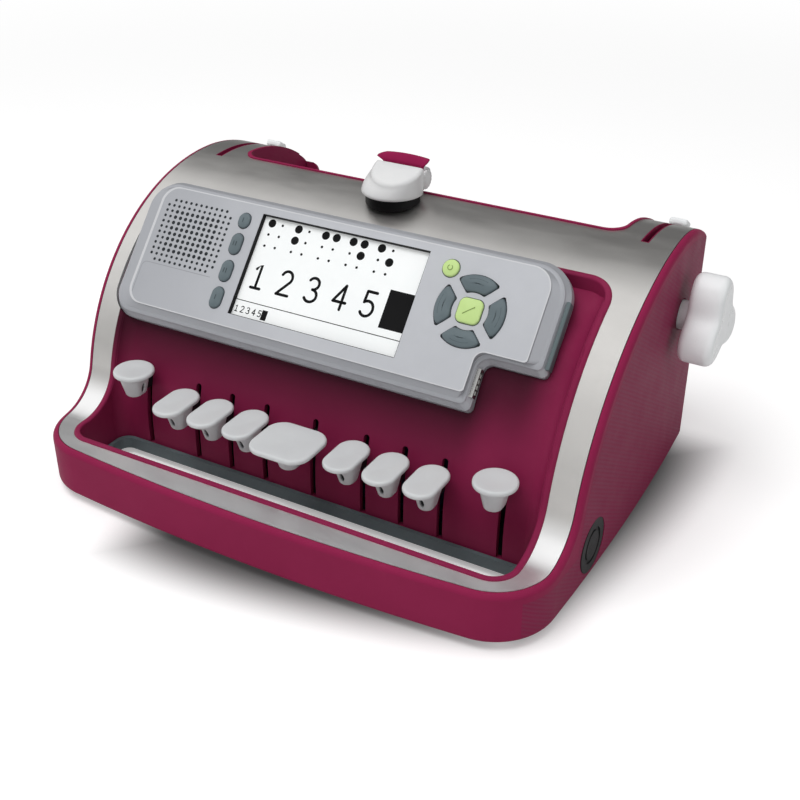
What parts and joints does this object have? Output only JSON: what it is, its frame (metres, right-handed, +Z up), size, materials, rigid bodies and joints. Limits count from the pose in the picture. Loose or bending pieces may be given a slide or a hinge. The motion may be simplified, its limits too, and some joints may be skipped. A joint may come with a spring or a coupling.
{
  "type": "manual braille writer",
  "caption": "Desk braille writer: rounded two-colour casing, key row in a front well over a hand-grip opening, display module above, side paper knobs and a sliding carriage lever on top.",
  "frame": {"origin": "on the table, under the middle of the overall box", "axes": "+X to the typist's right, along the feed roller; +Z up; -Y towards the typist"},
  "size_m": [0.356, 0.25, 0.1702],
  "materials": {
    "casing_maroon": "satin",
    "cover_silver": "satin silver",
    "key_grey": "satin",
    "module_grey": "satin",
    "button_slate": "matt",
    "button_green": "satin",
    "rubber_dark": "matt",
    "strip_rubber": "matt",
    "steel": "bare",
    "black_slide": "matt",
    "maroon_grip": "satin",
    "carriage_metal": "bare",
    "screen": "gloss",
    "board_green": "satin",
    "pan_dark": "matt",
    "contact_metal": "plated",
    "cell_wrap": "satin"
  },
  "bodies": {
    "casing": {"main_housing": "casing_maroon", "top_cover": "cover_silver", "key_well": "casing_maroon", "well_edge_strip": "strip_rubber", "side_plugs": "rubber_dark", "side_frames": "steel", "key_shaft": "steel", "key_return_springs": "steel", "base_pan": "pan_dark", "rubber_feet": "rubber_dark", "pan_screws": "steel", "carriage_rails": "steel", "paper_table": "pan_dark", "battery_pack": "cell_wrap", "module_front": "module_grey", "module_back": "module_grey", "lcd_panel": "screen", "circuit_board": "board_green", "speaker": "pan_dark", "module_side_strip": "strip_rubber", "card_port": "contact_metal"},
    "feed": {"feed_roller": "rubber_dark", "feed_knobs": "key_grey"},
    "pinch": {"pressure_roller": "rubber_dark"},
    "release_left": {"paper_release_left": "key_grey"},
    "release_right": {"paper_release_right": "key_grey"},
    "carriage": {"carriage_frame": "carriage_metal", "embossing_head": "steel", "carriage_disc": "black_slide", "carriage_cap": "key_grey"},
    "grip": {"carriage_grip": "maroon_grip"},
    "drum": {"spring_drum": "carriage_metal"},
    "key_line_feed": {"key_lever_line_feed": "steel", "key_cap_line_feed": "key_grey"},
    "key_dot_3": {"key_lever_dot_3": "steel", "key_cap_dot_3": "key_grey"},
    "key_dot_2": {"key_lever_dot_2": "steel", "key_cap_dot_2": "key_grey"},
    "key_dot_1": {"key_lever_dot_1": "steel", "key_cap_dot_1": "key_grey"},
    "key_space": {"key_lever_space": "steel", "key_cap_space": "key_grey"},
    "key_dot_4": {"key_lever_dot_4": "steel", "key_cap_dot_4": "key_grey"},
    "key_dot_5": {"key_lever_dot_5": "steel", "key_cap_dot_5": "key_grey"},
    "key_dot_6": {"key_lever_dot_6": "steel", "key_cap_dot_6": "key_grey"},
    "key_backspace": {"key_lever_backspace": "steel", "key_cap_backspace": "key_grey"},
    "side_button_1_body": {"side_button_1": "button_slate"},
    "side_button_2_body": {"side_button_2": "button_slate"},
    "side_button_3_body": {"side_button_3": "button_slate"},
    "side_button_4_body": {"side_button_4": "button_slate"},
    "power_button_body": {"power_button": "button_green"},
    "pad_up_body": {"pad_up": "button_slate"},
    "pad_left_body": {"pad_left": "button_slate"},
    "pad_down_body": {"pad_down": "button_slate"},
    "pad_right_body": {"pad_right": "button_slate"},
    "select_button_body": {"select_button": "button_green"}
  },
  "joints": [
    {"name": "line_feed_key_press", "type": "hinge", "parent": "casing", "child": "key_line_feed", "pos_m": [-0.1118, 0.035, 0.044], "axis": [1, 0, 0], "range_deg": [0, 5], "stiffness_Nm_per_rad": 0.15, "springref_deg": -20.05},
    {"name": "dot_3_key_press", "type": "hinge", "parent": "casing", "child": "key_dot_3", "pos_m": [-0.0776, 0.035, 0.044], "axis": [1, 0, 0], "range_deg": [0, 5], "stiffness_Nm_per_rad": 0.15, "springref_deg": -20.05},
    {"name": "dot_2_key_press", "type": "hinge", "parent": "casing", "child": "key_dot_2", "pos_m": [-0.0545, 0.035, 0.044], "axis": [1, 0, 0], "range_deg": [0, 5], "stiffness_Nm_per_rad": 0.15, "springref_deg": -20.05},
    {"name": "dot_1_key_press", "type": "hinge", "parent": "casing", "child": "key_dot_1", "pos_m": [-0.0314, 0.035, 0.044], "axis": [1, 0, 0], "range_deg": [0, 5], "stiffness_Nm_per_rad": 0.15, "springref_deg": -20.05},
    {"name": "space_key_press", "type": "hinge", "parent": "casing", "child": "key_space", "pos_m": [0, 0.035, 0.044], "axis": [1, 0, 0], "range_deg": [0, 5], "stiffness_Nm_per_rad": 0.15, "springref_deg": -20.05},
    {"name": "dot_4_key_press", "type": "hinge", "parent": "casing", "child": "key_dot_4", "pos_m": [0.0314, 0.035, 0.044], "axis": [1, 0, 0], "range_deg": [0, 5], "stiffness_Nm_per_rad": 0.15, "springref_deg": -20.05},
    {"name": "dot_5_key_press", "type": "hinge", "parent": "casing", "child": "key_dot_5", "pos_m": [0.0545, 0.035, 0.044], "axis": [1, 0, 0], "range_deg": [0, 5], "stiffness_Nm_per_rad": 0.15, "springref_deg": -20.05},
    {"name": "dot_6_key_press", "type": "hinge", "parent": "casing", "child": "key_dot_6", "pos_m": [0.0776, 0.035, 0.044], "axis": [1, 0, 0], "range_deg": [0, 5], "stiffness_Nm_per_rad": 0.15, "springref_deg": -20.05},
    {"name": "backspace_key_press", "type": "hinge", "parent": "casing", "child": "key_backspace", "pos_m": [0.1118, 0.035, 0.044], "axis": [1, 0, 0], "range_deg": [0, 5], "stiffness_Nm_per_rad": 0.15, "springref_deg": -20.05},
    {"name": "side_button_1_press", "type": "slide", "parent": "casing", "child": "side_button_1_body", "axis": [0, 0.7524, -0.6587], "range_m": [0, 0.0008], "stiffness_N_per_m": 400, "springref_m": -0.001},
    {"name": "side_button_2_press", "type": "slide", "parent": "casing", "child": "side_button_2_body", "axis": [0, 0.7524, -0.6587], "range_m": [0, 0.0008], "stiffness_N_per_m": 400, "springref_m": -0.001},
    {"name": "side_button_3_press", "type": "slide", "parent": "casing", "child": "side_button_3_body", "axis": [0, 0.7524, -0.6587], "range_m": [0, 0.0008], "stiffness_N_per_m": 400, "springref_m": -0.001},
    {"name": "side_button_4_press", "type": "slide", "parent": "casing", "child": "side_button_4_body", "axis": [0, 0.7524, -0.6587], "range_m": [0, 0.0008], "stiffness_N_per_m": 400, "springref_m": -0.001},
    {"name": "power_button_press", "type": "slide", "parent": "casing", "child": "power_button_body", "axis": [0, 0.7524, -0.6587], "range_m": [0, 0.0008], "stiffness_N_per_m": 400, "springref_m": -0.001},
    {"name": "pad_up_press", "type": "slide", "parent": "casing", "child": "pad_up_body", "axis": [0, 0.7524, -0.6587], "range_m": [0, 0.0008], "stiffness_N_per_m": 400, "springref_m": -0.001},
    {"name": "pad_left_press", "type": "slide", "parent": "casing", "child": "pad_left_body", "axis": [0, 0.7524, -0.6587], "range_m": [0, 0.0008], "stiffness_N_per_m": 400, "springref_m": -0.001},
    {"name": "pad_down_press", "type": "slide", "parent": "casing", "child": "pad_down_body", "axis": [0, 0.7524, -0.6587], "range_m": [0, 0.0008], "stiffness_N_per_m": 400, "springref_m": -0.001},
    {"name": "pad_right_press", "type": "slide", "parent": "casing", "child": "pad_right_body", "axis": [0, 0.7524, -0.6587], "range_m": [0, 0.0008], "stiffness_N_per_m": 400, "springref_m": -0.001},
    {"name": "select_button_press", "type": "slide", "parent": "casing", "child": "select_button_body", "axis": [0, 0.7524, -0.6587], "range_m": [0, 0.0008], "stiffness_N_per_m": 400, "springref_m": -0.001},
    {"name": "paper_feed", "type": "hinge", "parent": "casing", "child": "feed", "pos_m": [0, 0.067, 0.103], "axis": [1, 0, 0], "continuous": true},
    {"name": "pinch_turn", "type": "hinge", "parent": "casing", "child": "pinch", "pos_m": [0, 0.07608, 0.11872], "axis": [1, 0, 0], "continuous": true},
    {"name": "left_release", "type": "hinge", "parent": "casing", "child": "release_left", "pos_m": [-0.135, 0.059, 0.053], "axis": [1, 0, 0], "range_deg": [0, 26]},
    {"name": "right_release", "type": "hinge", "parent": "casing", "child": "release_right", "pos_m": [0.135, 0.059, 0.053], "axis": [1, 0, 0], "range_deg": [0, 26]},
    {"name": "carriage_travel", "type": "slide", "parent": "casing", "child": "carriage", "axis": [1, 0, 0], "range_m": [-0.08, 0.085]},
    {"name": "grip_squeeze", "type": "hinge", "parent": "carriage", "child": "grip", "pos_m": [-0.0072, 0.0437, 0.1577], "axis": [1, 0, 0], "range_deg": [0, 5], "stiffness_Nm_per_rad": 0.02, "springref_deg": -5.73},
    {"name": "drum_turn", "type": "hinge", "parent": "casing", "child": "drum", "pos_m": [-0.095, 0.028, 0.07], "axis": [0, 1, 0], "range_deg": [-260, 275]}
  ],
  "couplings": [
    {"joint": "pinch_turn", "follows": "paper_feed", "ratio": -1.5714},
    {"joint": "drum_turn", "follows": "carriage_travel", "rad_per_m": 55.556}
  ]
}
